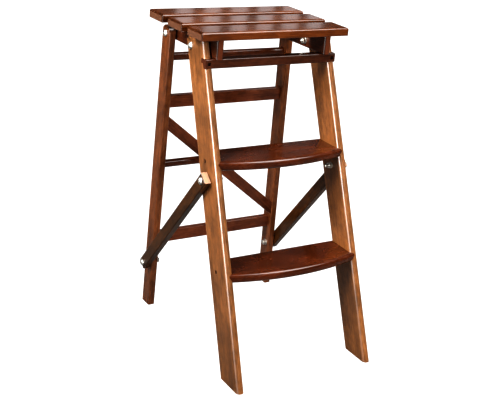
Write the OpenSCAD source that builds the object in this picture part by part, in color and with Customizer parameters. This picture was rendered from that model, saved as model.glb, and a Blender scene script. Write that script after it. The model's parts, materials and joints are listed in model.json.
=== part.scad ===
// Folding wooden step ladder with a slatted top, two bowed treads and a braced rear frame.
// Axes: +X to the right of someone facing the treads, -Y towards that person, +Z up.
// Origin: on the floor, in the middle of the ladder's width and depth.

/* [Overall] */
// Height of the slatted top above the floor
overall_h = 780; // [760:1:800]
// Depth from the front of the front feet to the rear edge of the top
overall_d = 530; // [520:1:540]
// Width across the outer faces of the front feet
foot_span = 380; // [360:1:400]
// Inward lean of each side towards the top, in degrees
splay = 1; // [0.5:0.1:1.2]

/* [Front frame] */
// Backward lean of the stiles, in degrees
stile_lean = 21.4; // [20.5:0.1:22.5]
// Width of a stile, from its front edge to its rear edge
stile_w = 75; // [70:1:80]
// Thickness of a stile
stile_t = 20; // [18:1:22]
// Radius of a stile's two front edges
stile_nose_r = 9.5; // [6:0.5:9.5]
// Height of the stiles' flat upper ends
stile_top_z = 755; // [750:1:756]
// Heights of the two treads' upper faces
tread_z = [257, 497];
// Thickness of a tread
tread_t = 22; // [20:1:24]
// How far a tread's nosing bows out in the middle
tread_bow = 26; // [15:1:35]
// Radius of a tread's rounded nosing edges
tread_nose_r = 9; // [6:0.5:10]
// Depth of the housings that the treads sit in
housing = 10; // [8:1:12]
// Height of the front rail's lower edge
rail_z = 693; // [685:1:700]
// Depth and height of the front rail's section
rail_section = [22, 22];

/* [Top] */
// Length of a slat
slat_l = 400; // [380:1:430]
// Width of a slat
slat_w = 73; // [70:1:75]
// Gap between two slats
slat_gap = 27.5; // [24:0.5:30]
// Radius of the slats' upper end edges
slat_end_r = 7; // [3:0.5:8]
// Thickness of a slat
slat_t = 20; // [18:1:22]
// Thickness of a cleat under the slats
cleat_t = 18; // [16:1:20]
// How far a cleat's front end stands back from the front slat's edge
cleat_inset = 7; // [4:1:12]

/* [Rear frame] */
// Forward lean of the rear legs, in degrees
leg_lean = 1.7; // [1:0.1:2.2]
// Width of a rear leg, from front to rear
leg_w = 40; // [36:1:42]
// Thickness of a rear leg
leg_t = 18; // [16:1:20]
// Heights of the lower edges of the two flat rails
rear_rail_z = [174, 543];
// Height of a flat rail's section
rear_rail_h = 32; // [28:1:34]
// Thickness of the flat rails and the brace
rear_rail_t = 16; // [14:1:18]
// Heights of the two round rungs' middles
rung_z = [389, 672];
// Diameter of a round rung
rung_d = 20; // [16:1:20]
// Heights of the brace's middle line at its left and right ends
brace_z = [510, 228];
// Width of the brace
brace_w = 28; // [24:1:30]

/* [Stays] */
// Width of a stay
stay_w = 30; // [26:1:32]
// Thickness of a stay
stay_t = 17; // [15:1:19]
// Gap between a stay and the frames, filled by a spacer
stay_gap = 1.2; // [1.2:0.1:2]
// How far a stay runs on past its pivots
stay_end = 11; // [10:1:14]

/* [Pivots] */
// Diameter of the pivot bolts
bolt_d = 8; // [7:1:8]
// Diameter of a pivot bolt's domed head
head_d = 17; // [15:1:18]
// Height of a pivot bolt's head
head_h = 7; // [6:0.5:7.5]
// Radial running clearance of a moving part on its bolt
run_fit = 0.06; // [0.04:0.01:0.08]
// Height of the top's two pivots above the floor
top_bolt_z = 731; // [729:1:733]
// Distance of the front pivot from the stile's rear edge
top_bolt_inset = 18; // [17:1:20]
// Distance between the top's front and rear pivots
top_link = 132; // [128:1:136]
// Height of the stay's lower pivot on the rear leg
low_bolt_z = 124; // [115:1:130]
// How far that pivot sits in front of the leg's middle line
low_bolt_ahead = 5; // [3:1:7]
// How far the stay's upper pivot sits behind the stile's middle line
stay_bolt_back = 2; // [0:0.5:5]
// Gap between the stiles and the rear legs when the ladder is folded
fold_gap = 3; // [1.5:0.5:4]

/* [Hidden] */
$fn = 96;

// Colours
varnished = [0.42, 0.20, 0.10];
varnished_light = [0.60, 0.32, 0.16];
zinc = [0.78, 0.78, 0.76];
dark_steel = [0.12, 0.10, 0.09];

far = 600;
overlap = 1;
slope = tan(splay);
slat_bottom_z = overall_h - slat_t;
rail_top_z = rail_z + rail_section[1];
cleat_h = slat_bottom_z - rail_top_z;

// Side view of a stile: s runs up along its rear edge from the floor, n runs backwards from it
stile_foot_y = stile_w / cos(stile_lean) - overall_d / 2;
function stile_point(s, n) = [
    stile_foot_y + s * sin(stile_lean) + n * cos(stile_lean),
    s * cos(stile_lean) - n * sin(stile_lean)];
function stile_s(p) = (p[0] - stile_foot_y) * sin(stile_lean) + p[1] * cos(stile_lean);
function stile_n(p) = (p[0] - stile_foot_y) * cos(stile_lean) - p[1] * sin(stile_lean);
function stile_front_y(z) = z * tan(stile_lean) - overall_d / 2;
function outer_x(z) = foot_span / 2 - z * slope;

// Pivots in the side view, as [y, z]
top_bolt_s = (top_bolt_z - top_bolt_inset * sin(stile_lean)) / cos(stile_lean);
top_bolt = stile_point(top_bolt_s, -top_bolt_inset);
leg_bolt = [top_bolt[0] + top_link, top_bolt_z];
leg_drop = (top_bolt_z - low_bolt_z - low_bolt_ahead * sin(leg_lean)) / cos(leg_lean);
low_bolt = [
    leg_bolt[0] + leg_drop * sin(leg_lean) - low_bolt_ahead * cos(leg_lean),
    low_bolt_z];

// The stay's upper pivot lies where the rear leg can fold flat behind the stile: the stay is as
// long in the folded ladder as in the open one.
folded_leg_n = fold_gap + leg_w / 2;
folded_low_n = folded_leg_n - low_bolt_ahead;
folded_leg_s = top_bolt_s - sqrt(pow(top_link, 2) - pow(folded_leg_n + top_bolt_inset, 2));
folded_low_s = folded_leg_s - leg_drop;
stay_bolt_n = stay_bolt_back - stile_w / 2;
open_low_s = stile_s(low_bolt);
open_low_n = stile_n(low_bolt);
stay_bolt_s = (pow(folded_low_s, 2) - pow(open_low_s, 2)
    + pow(stay_bolt_n - folded_low_n, 2) - pow(stay_bolt_n - open_low_n, 2))
    / (2 * (folded_low_s - open_low_s));
stay_bolt = stile_point(stay_bolt_s, stay_bolt_n);
stay_run = low_bolt - stay_bolt;
stay_length = norm(stay_run);
stay_angle = atan2(stay_run[1], stay_run[0]);

// Places across the ladder
inner_top_x = outer_x(top_bolt_z) - stile_t;
cleat_outer_x = inner_top_x - 1.9;
cleat_inner_x = cleat_outer_x - cleat_t;
top_front_y = overall_d / 2 - 3 * slat_w - 2 * slat_gap;
cleat_front_y = top_front_y + cleat_inset;
cleat_rear_y = leg_bolt[0] + 22;
slat_pitch = slat_w + slat_gap;

// Fasteners
washer_d = 16;
washer_t = 1.5;
nut_af = 13;
nut_h = 6.5;
top_tail = 5;
stay_tail = 10;
stud_tail = 1.5;
tip_l = 1.5;
rim_h = 3;
socket_d = 5.8;
play = 0.1;
spacer_t = stay_gap - play;
cleat_spacer_t = 1.6;
seat_depth = 0.2;
screw_d = 4.5;
screw_head_d = 9;

// Flat section with its own radius at each corner, counter-clockwise from the origin
module section(w, h, r) {
    polygon([
        [r[0], 0], [w - r[1], 0], [w, r[1]], [w, h - r[2]],
        [w - r[2], h], [r[3], h], [0, h - r[3]], [0, r[0]]]);
    translate([r[0], r[0]]) circle(r[0]);
    translate([w - r[1], r[1]]) circle(r[1]);
    translate([w - r[2], h - r[2]]) circle(r[2]);
    translate([r[3], h - r[3]]) circle(r[3]);
}

// Puts a piece drawn for the right side on side s: its x = 0 plane becomes the outer face
module side(s) {
    mirror([s < 0 ? 1 : 0, 0, 0])
        translate([foot_span / 2, 0, 0])
            rotate([0, -splay, 0]) children();
}

module on_side(s) {
    mirror([s < 0 ? 1 : 0, 0, 0]) children();
}

module below_floor() {
    translate([-far, -far, -far]) cube([2 * far, 2 * far, far]);
}

// Everything behind the plane of the stiles' rear edges
module behind_front_frame() {
    translate([-far, stile_foot_y, 0])
        rotate([-stile_lean, 0, 0])
            translate([0, 0, -far]) cube([2 * far, far, 4 * far]);
}

// Rod along +X that starts at x
module rod_x(x, y, z, d, l) {
    translate([x, y, z]) rotate([0, 90, 0]) cylinder(d = d, h = l);
}

// ---- Fasteners, drawn along +X with the head's seat at x = 0 ----

// A dome on a straight rim, with a hexagon socket
module domed_head() {
    dome_h = head_h - rim_h;
    dome_r = (pow(head_d / 2, 2) + pow(dome_h, 2)) / (2 * dome_h);
    rotate([0, 90, 0]) difference() {
        intersection() {
            cylinder(d = head_d, h = head_h + overlap);
            union() {
                cylinder(d = head_d + 2 * overlap, h = rim_h);
                translate([0, 0, head_h - dome_r]) sphere(dome_r);
            }
        }
        translate([0, 0, head_h - 4]) cylinder(d = socket_d, h = head_h, $fn = 6);
        translate([0, 0, -2 * dome_r]) cylinder(r = dome_r, h = 2 * dome_r);
    }
}

module bolt(shank) {
    domed_head();
    rod_x(tip_l - shank, 0, 0, bolt_d, shank + overlap - tip_l);
    translate([-shank, 0, 0]) rotate([0, 90, 0])
        cylinder(d1 = bolt_d - 2 * tip_l, d2 = bolt_d, h = tip_l);
}

module ring(outer, inner, t) {
    rotate([0, 90, 0]) difference() {
        cylinder(d = outer, h = t);
        translate([0, 0, -overlap]) cylinder(d = inner, h = t + 2 * overlap);
    }
}

module nut() {
    rotate([0, 90, 0]) difference() {
        intersection() {
            cylinder(d = nut_af / cos(30), h = nut_h, $fn = 6);
            union() {
                cylinder(d = nut_af, h = nut_h);
                cylinder(d = nut_af + 4, h = nut_h - 1);
            }
        }
        translate([0, 0, -overlap]) cylinder(d = bolt_d, h = nut_h + 2 * overlap);
    }
}

// Countersunk wood screw along -X, its head's face at x = 0
module screw(l) {
    rotate([0, -90, 0]) {
        cylinder(d1 = screw_head_d, d2 = screw_d, h = 2.6);
        cylinder(d = screw_d, h = l - 5);
        translate([0, 0, l - 5]) cylinder(d1 = screw_d, d2 = 1, h = 5);
    }
}

module screw_slot() {
    translate([-0.9, -screw_head_d, -0.6]) cube([2, 2 * screw_head_d, 1.2]);
}

// ---- Front frame ----

module stile_board() {
    translate([0, stile_foot_y, 0])
        rotate([-stile_lean, 0, 0])
            translate([-stile_t, -stile_w, -stile_w])
                linear_extrude(overall_h + 2 * stile_w) section(stile_t, stile_w,
                    [stile_nose_r, stile_nose_r, 2, 2]);
}

// Takes the square upper corner off a stile, so that the slats swing past it
module stile_shoulder(s) {
    r = stile_top_z - top_bolt_z;
    on_side(s) translate([inner_top_x - far / 2, 0, 0]) difference() {
        translate([0, top_bolt[0], top_bolt_z]) cube([far, far / 4, far / 4]);
        rod_x(-overlap, top_bolt[0], top_bolt_z, 2 * r, far + 2 * overlap);
    }
    translate([-far, -far, stile_top_z]) cube([2 * far, 2 * far, far]);
}

module stile(s) {
    color(varnished_light) difference() {
        side(s) stile_board();
        below_floor();
        stile_shoulder(s);
        for (z = tread_z) tread_board(z);
        front_rail_board();
        on_side(s) {
            rod_x(inner_top_x - far / 4, top_bolt[0], top_bolt_z, bolt_d, far);
            rod_x(outer_x(top_bolt_z) - seat_depth, top_bolt[0], top_bolt_z, head_d + 2, far);
        }
        side(s) rod_x(-far / 4, stay_bolt[0], stay_bolt[1], bolt_d, far);
        tread_screw_places(s) screw_hole();
        front_rail_screw_place(s) screw(38);
    }
}

// Tread half-length: it ends in the middle of the housings
function tread_half(z) = outer_x(z) - stile_t + housing;

module tread_board(z) {
    half = tread_half(z - tread_t / 2);
    end_y = stile_front_y(z - tread_t / 2) + 1;
    nose_y = end_y - tread_bow;
    bow_r = (pow(half, 2) + pow(tread_bow, 2)) / (2 * tread_bow);
    difference() {
        intersection() {
            translate([0, nose_y + bow_r, z - tread_t])
                rotate_extrude($fn = 360)
                    translate([bow_r - 2 * stile_w, 0])
                        section(2 * stile_w, tread_t, [1, tread_nose_r, tread_nose_r, 1]);
            translate([-half, nose_y - overlap, z - tread_t - overlap])
                cube([2 * half, 2 * stile_w, tread_t + 2 * overlap]);
        }
        behind_front_frame();
    }
}

module tread(z) {
    color(varnished) difference() {
        tread_board(z);
        for (s = [-1, 1]) tread_screw_places(s) screw(45);
    }
}

// One screw at each end of each tread, under the stile's outer face
module tread_screw_places(s) {
    for (z = tread_z) {
        y = z * tan(stile_lean) + stile_foot_y - 36.5;
        side(s) translate([-1.5, y, z - tread_t / 2]) children();
    }
}

module screw_hole() {
    screw(45);
    rod_x(0, 0, 0, screw_head_d, 3);
}

module tread_screws() {
    color(dark_steel) for (s = [-1, 1])
        tread_screw_places(s) difference() {
            screw(45);
            screw_slot();
        }
}

function front_rail_y() = stile_front_y(rail_z);

module front_rail_board() {
    half = outer_x(rail_z + rail_section[1] / 2);
    translate([-half, front_rail_y(), rail_z]) rotate([90, 0, 90])
        linear_extrude(2 * half)
            section(rail_section[0], rail_section[1], [3, 0.5, 0.5, 3]);
}

module front_rail_screw_place(s) {
    x = outer_x(rail_z) - stile_t / 2;
    translate([s * x, front_rail_y() + 5, rail_z + rail_section[1] / 2])
        rotate([0, 0, -90]) children();
}

module front_rail() {
    color(varnished) difference() {
        front_rail_board();
        for (s = [-1, 1]) front_rail_screw_place(s) {
            screw(38);
            rod_x(0, 0, 0, screw_head_d, 10);
        }
    }
}

module front_rail_screws() {
    color(dark_steel) for (s = [-1, 1])
        front_rail_screw_place(s) difference() {
            screw(38);
            screw_slot();
        }
}

// ---- Pivots of the top: bolts along X at p, from a board's outer face to the cleat's inner face ----

nut_x = cleat_inner_x - play;

module top_bolt_set(p, part) {
    for (s = [-1, 1]) on_side(s) translate([0, p[0], p[1]]) {
        seat_x = outer_x(p[1]) - seat_depth;
        if (part == "bolt")
            translate([seat_x, 0, 0]) bolt(seat_x - nut_x + washer_t + nut_h + top_tail);
        if (part == "washer")
            translate([nut_x - washer_t, 0, 0]) ring(washer_d, bolt_d, washer_t);
        if (part == "nut")
            translate([nut_x - washer_t - nut_h, 0, 0]) nut();
    }
}

// ---- Stay pivots, drawn in the plane of the side ----

module side_bolt_place(p) {
    for (s = [-1, 1]) side(s) translate([0, p[0], p[1]]) children();
}

module inner_washer(board_t) {
    translate([-board_t - washer_t, 0, 0]) ring(washer_d, bolt_d, washer_t);
}

module inner_nut(board_t) {
    translate([-board_t - washer_t - nut_h, 0, 0]) nut();
}

module stay_pivot_bolts() {
    seat = stay_gap + stay_t + play;
    color(zinc) side_bolt_place(stay_bolt) translate([seat, 0, 0])
        bolt(seat + stile_t + washer_t + nut_h + stay_tail);
}

module leg_studs() {
    l = leg_t + washer_t + nut_h + stud_tail;
    color(zinc) side_bolt_place(low_bolt) rod_x(-l, 0, 0, bolt_d, l + spacer_t);
}

// ---- Top ----

module slat(i) {
    y = top_front_y + i * slat_pitch;
    color(varnished) difference() {
        translate([-slat_l / 2, y, slat_bottom_z]) intersection() {
            rotate([90, 0, 90])
                linear_extrude(slat_l) section(slat_w, slat_t, [2.5, 2.5, 5.5, 5.5]);
            translate([0, slat_w + overlap, 0]) rotate([90, 0, 0])
                linear_extrude(slat_w + 2 * overlap)
                    section(slat_l, slat_t, [1.5, 1.5, slat_end_r, slat_end_r]);
            translate([0, 0, -overlap])
                linear_extrude(slat_t + 2 * overlap) section(slat_l, slat_w, [4, 4, 4, 4]);
        }
        slat_screw_places() screw(38);
    }
}

module cleat(s) {
    l = cleat_rear_y - cleat_front_y;
    color(varnished) difference() {
        on_side(s) translate([cleat_inner_x, cleat_front_y, rail_top_z]) intersection() {
            linear_extrude(cleat_h) section(cleat_t, l, [5, 5, 3, 3]);
            translate([0, l + overlap, 0]) rotate([90, 0, 0])
                linear_extrude(l + 2 * overlap) section(cleat_t, cleat_h, [2.5, 2.5, 0.5, 0.5]);
        }
        for (p = [top_bolt, leg_bolt])
            rod_x(-far / 2, p[0], p[1], bolt_d + 2 * run_fit, far);
        slat_screw_places() {
            screw(38);
            rod_x(0, 0, 0, screw_head_d, cleat_h);
        }
    }
}

// Two screws from below for each crossing of a cleat and a slat
module slat_screw_places() {
    middle_x = (cleat_inner_x + cleat_outer_x) / 2;
    ys = [22, 52, slat_pitch + 18, slat_pitch + 55, 2 * slat_pitch + 8, 2 * slat_pitch + 37];
    for (s = [-1, 1], y = ys)
        translate([s * middle_x, top_front_y + y, slat_bottom_z - 24])
            rotate([0, 90, 0]) children();
}

module slat_screws() {
    color(dark_steel) slat_screw_places() difference() {
        screw(38);
        screw_slot();
    }
}

// The rear spacers are thicker than the front ones, as the legs are thinner than the stiles
module cleat_spacers() {
    color(zinc) for (s = [-1, 1]) on_side(s) {
        cleat_spacer(top_bolt, cleat_spacer_t);
        cleat_spacer(leg_bolt, cleat_spacer_t + stile_t - leg_t);
    }
}

module cleat_spacer(p, t) {
    translate([cleat_outer_x, p[0], p[1]]) ring(washer_d, bolt_d + 2 * run_fit, t);
}

// ---- Rear frame, drawn in the plane of the legs: its middle line passes through leg_bolt ----

module in_leg_plane() {
    translate([0, leg_bolt[0], leg_bolt[1]]) rotate([leg_lean, 0, 0]) children();
}

// Height above the floor to distance along the leg from its upper pivot
function leg_z(z) = (z - leg_bolt[1]) / cos(leg_lean);

module leg_board() {
    r = leg_w / 2;
    long = leg_bolt[1] + leg_w;
    translate([0, leg_bolt[0], leg_bolt[1]]) rotate([leg_lean, 0, 0]) intersection() {
        translate([-leg_t, -r, -long])
            linear_extrude(2 * long) section(leg_t, leg_w, [3.5, 3.5, 3.5, 3.5]);
        union() {
            translate([-leg_t - overlap, -r - overlap, -long])
                cube([leg_t + 2 * overlap, leg_w + 2 * overlap, long]);
            rod_x(-leg_t - overlap, 0, 0, leg_w, leg_t + 2 * overlap);
        }
    }
}

module leg(s) {
    color(varnished_light) difference() {
        side(s) leg_board();
        below_floor();
        for (i = [0, 1]) {
            rear_rail_board(i);
            rung_bar(i);
        }
        brace_board();
        on_side(s) {
            rod_x(inner_top_x - far / 4, leg_bolt[0], leg_bolt[1], bolt_d, far);
            rod_x(outer_x(leg_bolt[1]) - seat_depth, leg_bolt[0], leg_bolt[1], head_d + 2, far);
        }
        side(s) rod_x(-far / 4, low_bolt[0], low_bolt[1], bolt_d, far);
    }
}

// Length of a cross piece at height z, with its ends let in by depth
function between_legs(z, depth) = 2 * (outer_x(z) - leg_t + depth);

module rear_rail_board(i) {
    l = between_legs(rear_rail_z[i] + rear_rail_h / 2, housing);
    in_leg_plane() translate([-l / 2, -rear_rail_t / 2, leg_z(rear_rail_z[i])])
        rotate([90, 0, 90]) linear_extrude(l)
            section(rear_rail_t, rear_rail_h, [2, 2, 2, 2]);
}

module rear_rail(i) {
    color(varnished) rear_rail_board(i);
}

// The rungs run behind the brace and end in narrower round tenons
rung_y = leg_w / 2 - rung_d / 2 - 1;

module rung_bar(i) {
    shoulder = between_legs(rung_z[i], -0.2);
    tenon = between_legs(rung_z[i], housing);
    y = i == 0 ? rung_y : 0;
    in_leg_plane() {
        rod_x(-shoulder / 2, y, leg_z(rung_z[i]), rung_d, shoulder);
        rod_x(-tenon / 2, y, leg_z(rung_z[i]), rung_d - 6, tenon);
    }
}

module rung(i) {
    color(varnished) rung_bar(i);
}

// The brace falls from left to right in the front half of the legs, its ends let into them
module brace_board() {
    left_x = -between_legs(brace_z[0], housing / 2) / 2;
    right_x = between_legs(brace_z[1], housing / 2) / 2;
    fall = leg_z(brace_z[1]) - leg_z(brace_z[0]);
    angle = atan2(fall, right_x - left_x);
    l = norm([fall, right_x - left_x]);
    in_leg_plane() intersection() {
        translate([left_x, -leg_w / 2 + 2, leg_z(brace_z[0])])
            rotate([0, -angle, 0])
                translate([-brace_w, 0, -brace_w / 2])
                    rotate([90, 0, 90]) linear_extrude(l + 2 * brace_w)
                        section(rear_rail_t, brace_w, [2, 2, 2, 2]);
        translate([left_x, -leg_w, -far * 2]) cube([right_x - left_x, 2 * leg_w, far * 2]);
    }
}

module rear_brace() {
    color(varnished) brace_board();
}

// ---- Stays, on the outer faces of the stiles and the rear legs ----

module stay_board() {
    translate([stay_gap, stay_bolt[0], stay_bolt[1]]) rotate([stay_angle, 0, 0])
        translate([0, -stay_end, -stay_w / 2]) intersection() {
            translate([0, stay_length + 2 * stay_end, 0]) rotate([90, 0, 0])
                linear_extrude(stay_length + 2 * stay_end)
                    section(stay_t, stay_w, [1.5, 3, 3, 1.5]);
            translate([0, 0, -overlap]) linear_extrude(stay_w + 2 * overlap)
                section(stay_t, stay_length + 2 * stay_end, [1, 1.5, 1.5, 1]);
        }
}

module stay(s) {
    color(varnished) side(s) difference() {
        stay_board();
        rod_x(-far / 4, stay_bolt[0], stay_bolt[1], bolt_d + 2 * run_fit, far);
        rod_x(-far / 4, low_bolt[0], low_bolt[1], bolt_d, far);
    }
}

module stay_low_bolt(s) {
    color(zinc) side(s) translate([stay_gap + stay_t, low_bolt[0], low_bolt[1]]) bolt(stay_t);
}

// ---- Nodes ----

stile(-1);  // stile_left
stile(1);  // stile_right
tread(tread_z[0]);  // tread_lower
tread(tread_z[1]);  // tread_upper
tread_screws();
front_rail();
front_rail_screws();
color(zinc) top_bolt_set(top_bolt, "bolt");  // top_pivot_bolts
color(zinc) top_bolt_set(top_bolt, "washer");  // top_pivot_washers
color(zinc) top_bolt_set(top_bolt, "nut");  // top_pivot_nuts
stay_pivot_bolts();
color(zinc) side_bolt_place(stay_bolt) ring(head_d, bolt_d, spacer_t);  // stay_pivot_spacers
color(zinc) side_bolt_place(stay_bolt) inner_washer(stile_t);  // stay_pivot_washers
color(zinc) side_bolt_place(stay_bolt) inner_nut(stile_t);  // stay_pivot_nuts
slat(0);  // slat_front
slat(1);  // slat_middle
slat(2);  // slat_rear
cleat(-1);  // cleat_left
cleat(1);  // cleat_right
slat_screws();
cleat_spacers();
leg(-1);  // leg_left
leg(1);  // leg_right
rear_rail(0);  // rear_rail_lower
rear_rail(1);  // rear_rail_upper
rung(0);  // rear_rung_middle
rung(1);  // rear_rung_top
rear_brace();
color(zinc) top_bolt_set(leg_bolt, "bolt");  // leg_pivot_bolts
color(zinc) top_bolt_set(leg_bolt, "washer");  // leg_pivot_washers
color(zinc) top_bolt_set(leg_bolt, "nut");  // leg_pivot_nuts
leg_studs();
color(zinc) side_bolt_place(low_bolt) ring(head_d, bolt_d, spacer_t);  // leg_stud_spacers
color(zinc) side_bolt_place(low_bolt) inner_washer(leg_t);  // leg_stud_washers
color(zinc) side_bolt_place(low_bolt) inner_nut(leg_t);  // leg_stud_nuts
stay(-1);  // stay_left
stay(1);  // stay_right
stay_low_bolt(-1);  // stay_bolt_left
stay_low_bolt(1);  // stay_bolt_right
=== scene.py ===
import json
import math

import bpy
from bpy.props import FloatProperty, FloatVectorProperty, PointerProperty
from mathutils import Matrix, Vector


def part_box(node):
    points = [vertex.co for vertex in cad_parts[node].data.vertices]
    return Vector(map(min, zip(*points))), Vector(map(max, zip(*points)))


bl_info = {
    "name": "Folding Step Ladder",
    "version": (1, 0, 0),
    "blender": (4, 5, 0),
    "location": "View3D > Sidebar > Ladder",
    "description": "Finishes the boards, rungs and bolts of a folding wooden step ladder",
    "category": "Object",
}

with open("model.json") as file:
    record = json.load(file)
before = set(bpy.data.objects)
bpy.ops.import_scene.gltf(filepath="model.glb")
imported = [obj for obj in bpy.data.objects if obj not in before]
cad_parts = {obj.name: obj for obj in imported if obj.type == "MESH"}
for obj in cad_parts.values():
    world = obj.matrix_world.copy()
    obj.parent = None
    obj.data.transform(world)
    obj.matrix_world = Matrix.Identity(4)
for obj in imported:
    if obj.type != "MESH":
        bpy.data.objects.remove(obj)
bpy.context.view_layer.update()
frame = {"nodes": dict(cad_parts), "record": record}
MM = 0.001
ACROSS, BACK, UP = (1, 0, 0), (0, 1, 0), (0, 0, 1)


# ---- Small helpers ----


def linear(hex_colour):
    """An sRGB hex colour such as 'a05a2c' as linear red, green, blue and alpha."""
    parts = [int(hex_colour[i : i + 2], 16) / 255 for i in (0, 2, 4)]
    return [c / 12.92 if c <= 0.04045 else ((c + 0.055) / 1.055) ** 2.4 for c in parts] + [1.0]


def add(tree, kind, settings=None, links=None, **values):
    """Adds a node: settings are its own fields, values fill input sockets, links feed them.

    A value's or link's key is the socket's name with _ for a space, or in_0, in_1 for a place."""
    node = tree.nodes.new(kind)
    for key, value in (settings or {}).items():
        setattr(node, key, value)

    def socket(key):
        if key.startswith("in_"):
            return node.inputs[int(key[3:])]
        return node.inputs[key.replace("_", " ")]

    for key, value in values.items():
        socket(key).default_value = value
    for key, source in (links or {}).items():
        tree.links.new(source, socket(key))
    return node


def ramp(tree, source, *stops):
    """A colour ramp on source, with stops of (place, hex colour, linear colour or grey number)."""
    node = add(tree, "ShaderNodeValToRGB", links={"Fac": source})
    elements = node.color_ramp.elements
    while len(elements) < len(stops):
        elements.new(0.5)
    for element, (place, colour) in zip(elements, stops):
        element.position = place
        if isinstance(colour, str):
            element.color = linear(colour)
        elif isinstance(colour, (int, float)):
            element.color = [colour] * 3 + [1.0]
        else:
            element.color = colour
    return node.outputs["Color"]


def new_material(name):
    material = bpy.data.materials.new(name)
    material.use_nodes = True
    tree = material.node_tree
    tree.nodes.clear()
    return material, tree


def finish_material(tree, shader):
    add(tree, "ShaderNodeOutputMaterial", links={"Surface": shader.outputs[0]})


def paint(material, *nodes):
    """Gives CAD nodes a finish through their material slots."""
    for name in nodes:
        for slot in frame["nodes"][name].material_slots:
            slot.material = material


def board_frame(along, face):
    """The turn that takes a board's length to X and its broad face's normal to Z."""
    x = Vector(along).normalized()
    z = Vector(face)
    z = (z - x * z.dot(x)).normalized()
    y = z.cross(x)
    return Matrix((x, y, z))


# ---- Materials ----

# A surface counts as end grain where it looks along the board by more than these cosines
END_GRAIN_STARTS = 0.90
END_GRAIN_FULL = 0.97


def shade(colour, factor):
    """A linear colour made darker or lighter by factor, with alpha 1."""
    return [min(1.0, c * factor) for c in colour[:3]] + [1.0]


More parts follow.
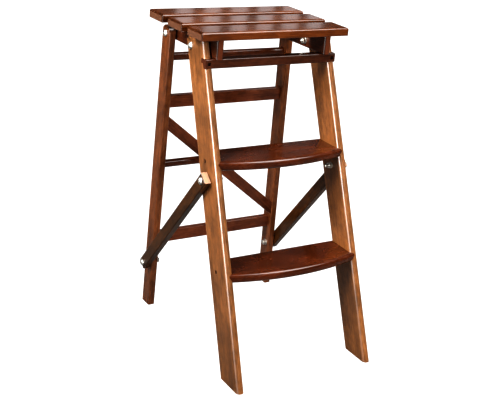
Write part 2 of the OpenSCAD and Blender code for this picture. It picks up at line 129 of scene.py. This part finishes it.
def varnished_beech(name, body, along, face, place, end_body=None, polish=0.2, mottle=0.6):
    """Steamed beech, stained red-brown and brushed with gloss varnish.

    The stain lies unevenly (clouds of 45 mm and mottles of 9 mm), the grain runs along the board in
    streaks about 1.6 mm wide, beech's short dark flecks are 5 mm by 0.5 mm, and the varnish has a
    faint brushed swell every 9 mm. Cut ends are matt, and surfaces that look partly along the board,
    such as the rounded edges beside the cut ends, are made darker.

    The board's length runs along, its broad side looks to face, and place gives it its own part of
    the pattern. polish is the varnish's roughness and mottle the strength of the mottles."""
    material, tree = new_material(name)
    coords = add(tree, "ShaderNodeTexCoord")
    lined_up = add(
        tree,
        "ShaderNodeMapping",
        links={"Vector": coords.outputs["Object"]},
        Rotation=board_frame(along, face).to_euler(),
        Location=place * Vector((1.0, 0.37, 0.61)),
    ).outputs["Vector"]

    def stretched(length_mm, width_mm, thick_mm):
        return add(
            tree,
            "ShaderNodeMapping",
            links={"Vector": lined_up},
            Scale=(1 / (length_mm * MM), 1 / (width_mm * MM), 1 / (thick_mm * MM)),
        ).outputs["Vector"]

    def noise(vector, detail=3.0, rough=0.55):
        return add(
            tree,
            "ShaderNodeTexNoise",
            links={"Vector": vector},
            Scale=1.0,
            Detail=detail,
            Roughness=rough,
        ).outputs["Fac"]

    def mix(kind, factor, a, b):
        node = add(tree, "ShaderNodeMix", {"data_type": "RGBA", "blend_type": kind})
        for socket, value in ((0, factor), (6, a), (7, b)):
            if hasattr(value, "is_linked"):
                tree.links.new(value, node.inputs[socket])
            else:
                node.inputs[socket].default_value = value
        return node.outputs[2]

    # Growth rings cut lengthwise: long soft waves about 21 mm apart that wander along the board
    wander = noise(stretched(240, 45, 45), 2.0, 0.5)
    rings = add(
        tree,
        "ShaderNodeTexWave",
        {"wave_type": "BANDS", "bands_direction": "Y", "wave_profile": "SIN"},
        links={"Vector": stretched(420, 34, 60), "Phase Offset": wander},
        Scale=0.5,
        Distortion=3.0,
        Detail=1.0,
        Detail_Scale=0.6,
    ).outputs["Fac"]
    streaks = noise(stretched(70, 1.6, 2.4), 4.0, 0.6)
    flecks = noise(stretched(5, 0.5, 0.6), 2.0, 0.5)
    mottles = noise(stretched(16, 9, 9), 3.0, 0.6)
    clouds = noise(stretched(90, 45, 40), 3.0, 0.6)

    tones = [shade(body, factor) for factor in (0.52, 1.0, 1.35)]
    grain = ramp(tree, streaks, (0.28, tones[0]), (0.52, tones[1]), (0.78, tones[2]))
    ringed = mix("MULTIPLY", 0.5, grain, ramp(tree, rings, (0.0, 0.74), (0.8, 1.0)))
    flecked = mix("MULTIPLY", 0.6, ringed, ramp(tree, flecks, (0.30, 0.55), (0.42, 1.0)))
    mottled = mix("MULTIPLY", mottle, flecked, ramp(tree, mottles, (0.36, 0.5), (0.60, 1.0)))
    stained = mix("MULTIPLY", 0.8, mottled, ramp(tree, clouds, (0.36, 0.5), (0.60, 1.05)))

    # End grain shows where the surface looks along the board
    toward_end = add(
        tree,
        "ShaderNodeVectorMath",
        {"operation": "DOT_PRODUCT"},
        links={"in_0": coords.outputs["Normal"]},
        in_1=Vector(along).normalized(),
    ).outputs["Value"]
    endness = add(
        tree, "ShaderNodeMath", {"operation": "ABSOLUTE"}, links={"in_0": toward_end}
    ).outputs[0]
    # Surfaces that look partly along the board, such as rounded edges by the cut ends, are made darker
    darkened_near_ends = mix("MULTIPLY", 1.0, stained, ramp(tree, endness, (0.2, 1.0), (0.45, 0.4)))
    end_part = ramp(tree, endness, (END_GRAIN_STARTS, 0.0), (END_GRAIN_FULL, 1.0))
    pores = noise(stretched(30, 0.9, 0.9), 3.0, 0.7)
    end_body = shade(end_body or body, 1.0)
    end_grain = ramp(tree, pores, (0.32, shade(end_body, 0.45)), (0.62, end_body))
    colour = mix("MIX", end_part, darkened_near_ends, end_grain)

    swell = noise(stretched(90, 9, 12), 2.0, 0.4)
    varnish_bump = add(
        tree, "ShaderNodeBump", links={"Height": swell}, Strength=0.01, Distance=0.3 * MM
    ).outputs[0]
    gloss = ramp(tree, clouds, (0.3, polish + 0.08), (0.7, polish + 0.18))
    roughness = mix("MIX", end_part, gloss, (0.6, 0.6, 0.6, 1.0))
    coat = ramp(tree, endness, (END_GRAIN_STARTS, 0.8), (END_GRAIN_FULL, 0.0))
    shader = add(
        tree,
        "ShaderNodeBsdfPrincipled",
        links={
            "Base Color": colour,
            "Roughness": roughness,
            "Normal": varnish_bump,
            "Coat Weight": coat,
            "Coat Normal": varnish_bump,
        },
        IOR=1.5,
        Specular_IOR_Level=0.2,
        Coat_Roughness=polish,
    )
    finish_material(tree, shader)
    return material


def zinc_plate():
    """Steel plated with bright zinc: a pale, slightly cloudy metal that mirrors softly."""
    material, tree = new_material("bright_zinc_plate")
    coords = add(tree, "ShaderNodeTexCoord").outputs["Object"]
    cloud = add(tree, "ShaderNodeTexNoise", links={"Vector": coords}, Scale=1 / (5 * MM), Detail=3.0)
    grit = add(tree, "ShaderNodeTexNoise", links={"Vector": coords}, Scale=1 / (0.6 * MM), Detail=2.0)
    bump = add(
        tree, "ShaderNodeBump", links={"Height": grit.outputs["Fac"]}, Strength=0.12, Distance=0.05 * MM
    )
    shader = add(
        tree,
        "ShaderNodeBsdfPrincipled",
        links={
            "Base Color": ramp(tree, cloud.outputs["Fac"], (0.3, "b9b7b0"), (0.7, "e6e4dd")),
            "Roughness": ramp(tree, cloud.outputs["Fac"], (0.3, 0.34), (0.7, 0.48)),
            "Normal": bump.outputs[0],
        },
        Metallic=1.0,
    )
    finish_material(tree, shader)
    return material


def browned_screw():
    """Steel wood screws with the stain and varnish brushed over them: nearly black, dull."""
    material, tree = new_material("varnished_over_steel_screw")
    coords = add(tree, "ShaderNodeTexCoord").outputs["Object"]
    crust = add(tree, "ShaderNodeTexNoise", links={"Vector": coords}, Scale=1 / (1.5 * MM), Detail=3.0)
    shader = add(
        tree,
        "ShaderNodeBsdfPrincipled",
        links={
            "Base Color": ramp(tree, crust.outputs["Fac"], (0.35, "140c08"), (0.7, "3b2417")),
            "Roughness": ramp(tree, crust.outputs["Fac"], (0.35, 0.35), (0.7, 0.6)),
        },
        Metallic=0.3,
    )
    finish_material(tree, shader)
    return material


# ---- Directions of the boards, as in the CAD ----

SPLAY = math.radians(1.0)
STILE_LEAN = math.radians(21.4)
LEG_LEAN = math.radians(-1.7)


def up_side(lean, side):
    """Upward direction of a board in a side plane that leans in by SPLAY at the top."""
    return Vector((-side * math.sin(SPLAY), math.sin(lean), math.cos(lean)))


def nodes_of(slot):
    """Names of the CAD nodes whose record entry has this material slot."""
    parts = frame["record"]["subparts"]
    return [part["node"] for part in parts if part["material_slot"] == slot]


def node_run(node):
    """A CAD node's extent from its lowest to its highest corner."""
    low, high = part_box(node)
    return Vector(high) - Vector(low)


# ---- Finishing steps ----


def finish_board(node, body, along, face, place, **finish):
    """Varnishes one board of the CAD with a material named after it."""
    paint(varnished_beech("beech_" + node, body, along, face, place, **finish), node)


class LADDER_OT_front_frame(bpy.types.Operator):
    """Stains and varnishes the stiles, treads and front rail"""

    bl_idname = "ladder.front_frame"
    bl_label = "Front Frame"

    def execute(self, context):
        stain = context.scene.ladder_stain
        for side, node in ((-1, "stile_left"), (1, "stile_right")):
            up = up_side(STILE_LEAN, side)
            finish_board(node, stain.stiles, up, ACROSS, 0.55 * side, polish=0.28)
        for i, node in enumerate(("tread_lower", "tread_upper")):
            finish_board(node, stain.treads, ACROSS, UP, 0.7 + i, polish=0.13, mottle=0.25)
        # The front rail gets a copy of the rails' stain made darker: painted shade
        finish_board("front_rail", shade(stain.rails, 0.6), ACROSS, BACK, 2.9)
        return {"FINISHED"}


class LADDER_OT_top(bpy.types.Operator):
    """Stains and varnishes the slats and cleats"""

    bl_idname = "ladder.top"
    bl_label = "Top"

    def execute(self, context):
        stain = context.scene.ladder_stain
        gloss = {"end_body": stain.cut_ends, "polish": 0.12, "mottle": 0.15}
        for i, node in enumerate(("slat_front", "slat_middle", "slat_rear")):
            finish_board(node, stain.slats, ACROSS, UP, 1.3 * i + 0.4, **gloss)
        for i, node in enumerate(("cleat_left", "cleat_right")):
            finish_board(node, stain.rails, BACK, ACROSS, 5.0 + i)
        return {"FINISHED"}


class LADDER_OT_rear_frame(bpy.types.Operator):
    """Stains and varnishes the rear legs, rails, rungs and brace"""

    bl_idname = "ladder.rear_frame"
    bl_label = "Rear Frame"

    def execute(self, context):
        stain = context.scene.ladder_stain
        for side, node in ((-1, "leg_left"), (1, "leg_right")):
            finish_board(node, stain.legs, up_side(LEG_LEAN, side), ACROSS, 6.1 + side)
        level = ("rear_rail_lower", "rear_rail_upper", "rear_rung_middle", "rear_rung_top")
        for i, node in enumerate(level):
            finish_board(node, stain.rails, ACROSS, BACK, 8.0 + i)
        run = node_run("rear_brace")
        finish_board("rear_brace", stain.rails, (run.x, 0, -run.z), BACK, 12.4)
        return {"FINISHED"}


class LADDER_OT_stays(bpy.types.Operator):
    """Stains and varnishes the two stays, whose cut ends are painted pale: painted light for the light
    falling on them
    """

    bl_idname = "ladder.stays"
    bl_label = "Stays"

    def execute(self, context):
        stain = context.scene.ladder_stain
        for i, node in enumerate(("stay_left", "stay_right")):
            run = node_run(node)
            falling = (0, run.y, -run.z)
            # The stays' cut ends take a pale colour, painted light for the light that falls on these end
            # faces
            finish_board(node, stain.stays, falling, ACROSS, 14.0 + i, end_body=stain.pale_stay_ends_painted_light)
        return {"FINISHED"}


class LADDER_OT_hardware(bpy.types.Operator):
    """Plates the bolts, nuts and washers and browns the wood screws"""

    bl_idname = "ladder.hardware"
    bl_label = "Hardware"

    def execute(self, context):
        paint(zinc_plate(), *nodes_of("zinc_plate"))
        paint(browned_screw(), *nodes_of("dark_screw"))
        return {"FINISHED"}


# ---- Stage, in metres ----

MIDDLE = (0, 0, 0.4)
FLOOR_REACH = 12.0
LOW_FILL_SHARE = 0.05
LAMP_COUNT = 6
LAMP_STEP = 0.172


def soft_light(name, place, aim, size, power, colour=(1, 1, 1), spread=180):
    """A rectangular light at place that looks at aim, with its beam's spread in degrees."""
    light = bpy.data.lights.new(name, "AREA")
    light.spread = math.radians(spread)
    light.shape = "RECTANGLE"
    light.size, light.size_y = size
    light.energy = power
    light.color = colour
    obj = bpy.data.objects.new(name, light)
    bpy.context.collection.objects.link(obj)
    obj.location = place
    obj.rotation_mode = "QUATERNION"
    obj.rotation_quaternion = (Vector(aim) - Vector(place)).to_track_quat("-Z", "Y")
    return obj


def gleam_only(light):
    """Keeps a light out of matt shading, so that it shows only where the varnish mirrors it."""
    light.visible_diffuse = False


def fill_only(light):
    """Keeps a light out of mirrors, so that it only brightens the shade."""
    light.visible_glossy = False


def camera_sees(tree, shown, felt):
    """Mixes two shaders, so that the camera sees the first and the ladder feels the second."""
    seen = add(tree, "ShaderNodeLightPath").outputs["Is Camera Ray"]
    return add(
        tree,
        "ShaderNodeMixShader",
        links={"Fac": seen, "in_1": felt.outputs[0], "in_2": shown.outputs[0]},
    )


def studio_air(brightness):
    """Air that looks white behind the ladder but lights it only faintly."""
    world = bpy.data.worlds.new("studio_air")
    world.use_nodes = True
    tree = world.node_tree
    tree.nodes.clear()
    faint = add(tree, "ShaderNodeBackground", Color=(1, 1, 1, 1), Strength=brightness)
    white = add(tree, "ShaderNodeBackground", Color=(1, 1, 1, 1), Strength=1.0)
    air = camera_sees(tree, white, faint)
    add(tree, "ShaderNodeOutputWorld", links={"Surface": air.outputs[0]})
    return world


def pale_floor(glow):
    """Matt paper floor. It looks white, but lights the wood from below only as grey paper would."""
    material, tree = new_material("pale_floor")
    grey = add(tree, "ShaderNodeBsdfDiffuse", Color=(0.16, 0.155, 0.15, 1))
    white = add(tree, "ShaderNodeEmission", Color=(1, 1, 1, 1), Strength=glow)
    finish_material(tree, camera_sees(tree, white, grey))
    return material


def lay_floor(stage):
    mesh = bpy.data.meshes.new("floor")
    reach = FLOOR_REACH
    corners = [(-reach, -reach, 0), (reach, -reach, 0), (reach, reach, 0), (-reach, reach, 0)]
    mesh.from_pydata(corners, [], [(0, 1, 2, 3)])
    mesh.materials.append(pale_floor(stage.floor_glow))
    floor = bpy.data.objects.new("floor", mesh)
    bpy.context.collection.objects.link(floor)


def hang_lights(stage):
    """The key stands high on the left. Two boxes gleam along the rounded edges, one low on the left
    and one high on the right, fills brighten the shaded sides, and lamps far behind lie mirrored
    across the slats."""
    warm = (1.0, 0.97, 0.94)
    cool = (1.0, 0.95, 0.97)
    soft_light("key", (-1.4, -0.1, 1.75), (-0.1, 0.0, 0.74), (1.2, 1.2), stage.key, warm, 48)
    gleam_only(soft_light("edge_box", (-2.75, -1.15, 0.95), MIDDLE, (0.9, 1.0), stage.edge))
    gleam_only(soft_light("nose_box", (1.3, -1.3, 2.9), (0, 0, 0.5), (1.5, 1.5), stage.nose))
    fill_only(soft_light("front_box", (0.6, -3.2, 1.5), MIDDLE, (1.4, 1.0), stage.front))
    low_power = stage.fill * LOW_FILL_SHARE
    fill_only(soft_light("low_fill", (-1.9, -1.8, 0.7), MIDDLE, (1.2, 1.0), low_power))
    fill_only(soft_light("right_fill", (2.8, 0.0, 1.5), MIDDLE, (2.0, 1.6), stage.fill))
    fill_only(soft_light("back_fill", (-0.2, 3.0, 1.6), MIDDLE, (2.0, 1.6), stage.fill))
    for i in range(LAMP_COUNT):
        place = (1.26 + LAMP_STEP * i, 2.9, 1.40)
        lamp = soft_light("lamp_%d" % i, place, (0, 0, 0.78), (0.09, 0.18), stage.lamps, cool)
        gleam_only(lamp)


def camera_turn(yaw, pitch, roll):
    """The turn of a camera that looks yaw to the right of +Y and pitch up, its right side lifted by roll."""
    ahead = Vector((math.sin(yaw) * math.cos(pitch), math.cos(yaw) * math.cos(pitch), math.sin(pitch)))
    right = Vector((math.cos(yaw), -math.sin(yaw), 0))
    up = right.cross(ahead)
    tilted_right = right * math.cos(roll) + up * math.sin(roll)
    tilted_up = up * math.cos(roll) - right * math.sin(roll)
    return Matrix((tilted_right, tilted_up, -ahead)).transposed()


def set_camera(scene, stage):
    camera = bpy.data.cameras.new("camera")
    camera.sensor_width = 36.0
    camera.lens = stage.lens
    camera.shift_x = stage.shift
    obj = bpy.data.objects.new("camera", camera)
    bpy.context.collection.objects.link(obj)
    obj.matrix_world = Matrix.Translation(stage.eye) @ camera_turn(*stage.turn).to_4x4()
    scene.camera = obj


class LADDER_OT_stage(bpy.types.Operator):
    """Lays the pale floor, hangs the studio lights and sets up the camera"""

    bl_idname = "ladder.stage"
    bl_label = "Stage"

    def execute(self, context):
        scene = context.scene
        stage = scene.ladder_stage
        scene.view_settings.view_transform = "Standard"
        scene.view_settings.look = "High Contrast"
        scene.world = studio_air(stage.air)
        lay_floor(stage)
        hang_lights(stage)
        set_camera(scene, stage)
        return {"FINISHED"}


# ---- Values that a user may change ----


def stain_colour(name, hex_colour):
    return FloatVectorProperty(
        name=name,
        description="Colour of the stained wood under its varnish",
        default=linear(hex_colour)[:3],
        subtype="COLOR",
        min=0,
        max=1,
    )


def light_power(name, description, watts):
    return FloatProperty(name=name, description=description, default=watts, min=0, unit="POWER")


class LadderStain(bpy.types.PropertyGroup):
    stiles: stain_colour("Stiles", "a86f40")
    treads: stain_colour("Treads", "612e14")
    slats: stain_colour("Slats", "7a421e")
    rails: stain_colour("Rails and cleats", "743e24")
    legs: stain_colour("Rear legs", "88502c")
    stays: stain_colour("Stays", "5c3816")
    cut_ends: stain_colour("Slat ends", "76503a")
    # The pale stay ends are painted light: they stand for the light falling on these cut ends
    pale_stay_ends_painted_light: stain_colour("Stay ends", "e2b493")


class LadderStage(bpy.types.PropertyGroup):
    air: FloatProperty(
        name="Air", description="Brightness of the light from all round", default=0.045, min=0
    )
    floor_glow: FloatProperty(
        name="Floor glow", description="How white the floor looks", default=1.0, min=0
    )
    key: light_power("Key", "Power of the high light on the left", 8.4)
    edge: light_power("Edge box", "Power of the low light mirrored in the front edges", 150)
    nose: light_power("Nose box", "Power of the high light mirrored in the nosings", 60)
    front: light_power("Front box", "Power of the light in front", 78)
    fill: light_power("Fills", "Power of the lights that brighten the right and the back", 70)
    lamps: light_power("Lamps", "Power of each lamp mirrored in the slats", 0.045)
    lens: FloatProperty(
        name="Lens", description="Focal length of the camera", default=71.82, min=20, unit="CAMERA"
    )
    shift: FloatProperty(name="Shift", description="Sideways shift of the picture", default=-0.06)
    eye: FloatVectorProperty(
        name="Eye",
        description="Place of the camera",
        default=(-1.23883, -1.92804, 1.23708),
        subtype="TRANSLATION",
        unit="LENGTH",
    )
    turn: FloatVectorProperty(
        name="Turn",
        description="Yaw, pitch and roll of the camera",
        default=(0.59028, -0.36516, 0.09482),
        subtype="EULER",
        unit="ROTATION",
    )


class LADDER_PT_panel(bpy.types.Panel):
    """Lists the steps that finish the ladder"""

    bl_idname = "LADDER_PT_panel"
    bl_label = "Step Ladder"
    bl_space_type = "VIEW_3D"
    bl_region_type = "UI"
    bl_category = "Ladder"

    def draw(self, context):
        for step in STEPS:
            self.layout.operator(step.bl_idname)


STEPS = (
    LADDER_OT_front_frame,
    LADDER_OT_top,
    LADDER_OT_rear_frame,
    LADDER_OT_stays,
    LADDER_OT_hardware,
    LADDER_OT_stage,
)
CLASSES = (LadderStain, LadderStage, *STEPS, LADDER_PT_panel)


def register():
    for cls in CLASSES:
        bpy.utils.register_class(cls)
    bpy.types.Scene.ladder_stain = PointerProperty(type=LadderStain)
    bpy.types.Scene.ladder_stage = PointerProperty(type=LadderStage)


def unregister():
    del bpy.types.Scene.ladder_stage
    del bpy.types.Scene.ladder_stain
    for cls in reversed(CLASSES):
        bpy.utils.unregister_class(cls)


def main():
    register()
    for step in STEPS:
        group, name = step.bl_idname.split(".")
        getattr(getattr(bpy.ops, group), name)()


if __name__ == "__main__":
    main()
